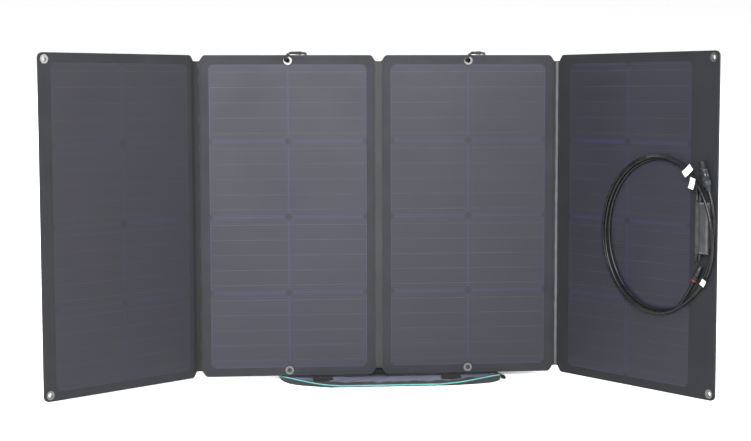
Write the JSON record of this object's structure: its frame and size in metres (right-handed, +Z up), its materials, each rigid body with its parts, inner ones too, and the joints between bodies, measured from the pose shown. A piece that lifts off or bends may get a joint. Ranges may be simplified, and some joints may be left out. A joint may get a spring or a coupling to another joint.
{
  "type": "portable folding solar panel",
  "caption": "Folding fabric solar panel standing like a screen, hooked at its top edge on its opened zip case, which props it up; a junction box and a coil of leads are on one outer panel",
  "frame": {"origin": "on the floor under the middle fold line, in the plane of the middle panels' back faces", "axes": "+X along the unfolded row to the right as seen from the solar faces, +Y to the rear towards the case's leg, +Z up"},
  "size_m": [1.3031, 0.6364, 0.7442],
  "materials": {
    "panel_fabric": "dense dark grey woven polyester, matt",
    "panel_back": "dark grey coated polyester",
    "board": "hidden stiffener sheet",
    "cells": "dark blue-grey silicon wafers with fine silver lines",
    "film": "clear satin laminate with a fine dimple grid",
    "eyelet_steel": "plated steel, slightly worn",
    "carabiner_black": "black coated steel wire",
    "case_lining": "thin grey-lilac lining, wrinkled",
    "case_shell": "black heavy polyester",
    "case_board": "hidden stiffener sheet",
    "teal_zip": "teal coil zip",
    "webbing": "black ribbed webbing",
    "zip_metal": "black coated zinc",
    "box_plastic": "black satin plastic",
    "lead_rubber": "black flexible jacket",
    "connector_plastic": "black ribbed plastic",
    "tag_white": "white blank tag"
  },
  "bodies": {
    "stand": {"case_front_lining": "case_lining", "case_front_board": "case_board", "case_front_shell": "case_shell", "case_front_flaps": "case_shell", "case_front_gusset": "case_lining", "case_front_zip": "teal_zip", "case_strap_pads": "webbing", "case_spine": "case_shell", "left_centre_back_cover": "panel_back", "left_centre_board": "board", "left_centre_front_cover": "panel_fabric", "left_centre_cells": "cells", "left_centre_film": "film", "left_centre_eyelets": "eyelet_steel", "left_carabiner_frame": "carabiner_black", "left_case_loop": "webbing"},
    "left_wing": {"left_wing_back_cover": "panel_back", "left_wing_board": "board", "left_wing_front_cover": "panel_fabric", "left_wing_cells": "cells", "left_wing_film": "film", "left_wing_eyelets": "eyelet_steel"},
    "right_centre": {"right_centre_back_cover": "panel_back", "right_centre_board": "board", "right_centre_front_cover": "panel_fabric", "right_centre_cells": "cells", "right_centre_film": "film", "right_centre_eyelets": "eyelet_steel", "right_carabiner_frame": "carabiner_black", "right_case_loop": "webbing"},
    "right_wing": {"right_wing_back_cover": "panel_back", "right_wing_board": "board", "right_wing_front_cover": "panel_fabric", "right_wing_cells": "cells", "right_wing_film": "film", "right_wing_eyelets": "eyelet_steel", "junction_box_base": "box_plastic", "junction_box_lid": "box_plastic", "junction_box_glands": "box_plastic", "lead_coil": "lead_rubber", "lead_a": "lead_rubber", "lead_b": "lead_rubber", "connector_a_grip": "connector_plastic", "connector_a_body": "connector_plastic", "connector_b_grip": "connector_plastic", "connector_b_body": "connector_plastic", "lead_tags": "tag_white"},
    "leg": {"case_rear_shell": "case_shell", "case_rear_board": "case_board", "case_rear_lining": "case_lining", "case_rear_flaps": "case_shell", "case_rear_hem": "webbing", "case_rear_zip": "teal_zip", "case_pocket": "case_lining", "case_cross_strap": "webbing"},
    "left_gate": {"left_carabiner_gate": "carabiner_black"},
    "right_gate": {"right_carabiner_gate": "carabiner_black"},
    "zip_slider": {"zip_slider": "zip_metal"}
  },
  "joints": [
    {"name": "left_wing_fold", "type": "hinge", "parent": "stand", "child": "left_wing", "pos_m": [-0.383, 0.05699, 0.34738], "axis": [0, 0.1736, 0.9848], "range_deg": [-40, 132]},
    {"name": "centre_fold", "type": "hinge", "parent": "stand", "child": "right_centre", "pos_m": [0, 0.05699, 0.34738], "axis": [0, -0.1736, -0.9848], "range_deg": [0, 5]},
    {"name": "right_wing_fold", "type": "hinge", "parent": "right_centre", "child": "right_wing", "pos_m": [0.383, 0.05699, 0.34738], "axis": [0, -0.1736, -0.9848], "range_deg": [-57, 101.5]},
    {"name": "leg_fold", "type": "hinge", "parent": "stand", "child": "leg", "pos_m": [0.024, 0.13233, 0.66178], "axis": [1, 0, 0], "range_deg": [-14, 55]},
    {"name": "left_gate_swing", "type": "hinge", "parent": "stand", "child": "left_gate", "pos_m": [-0.16099, 0.13717, 0.68321], "axis": [0.621, -0.5847, -0.5221], "range_deg": [0, 22], "stiffness_Nm_per_rad": 0.02, "springref_deg": -17.19},
    {"name": "right_gate_swing", "type": "hinge", "parent": "right_centre", "child": "right_gate", "pos_m": [0.22201, 0.13717, 0.68321], "axis": [0.621, -0.5847, -0.5221], "range_deg": [0, 22], "stiffness_Nm_per_rad": 0.02, "springref_deg": -17.19},
    {"name": "zip_slide", "type": "slide", "parent": "leg", "child": "zip_slider", "axis": [0, -0.2079, 0.9781], "range_m": [-0.5, 0.03]}
  ]
}
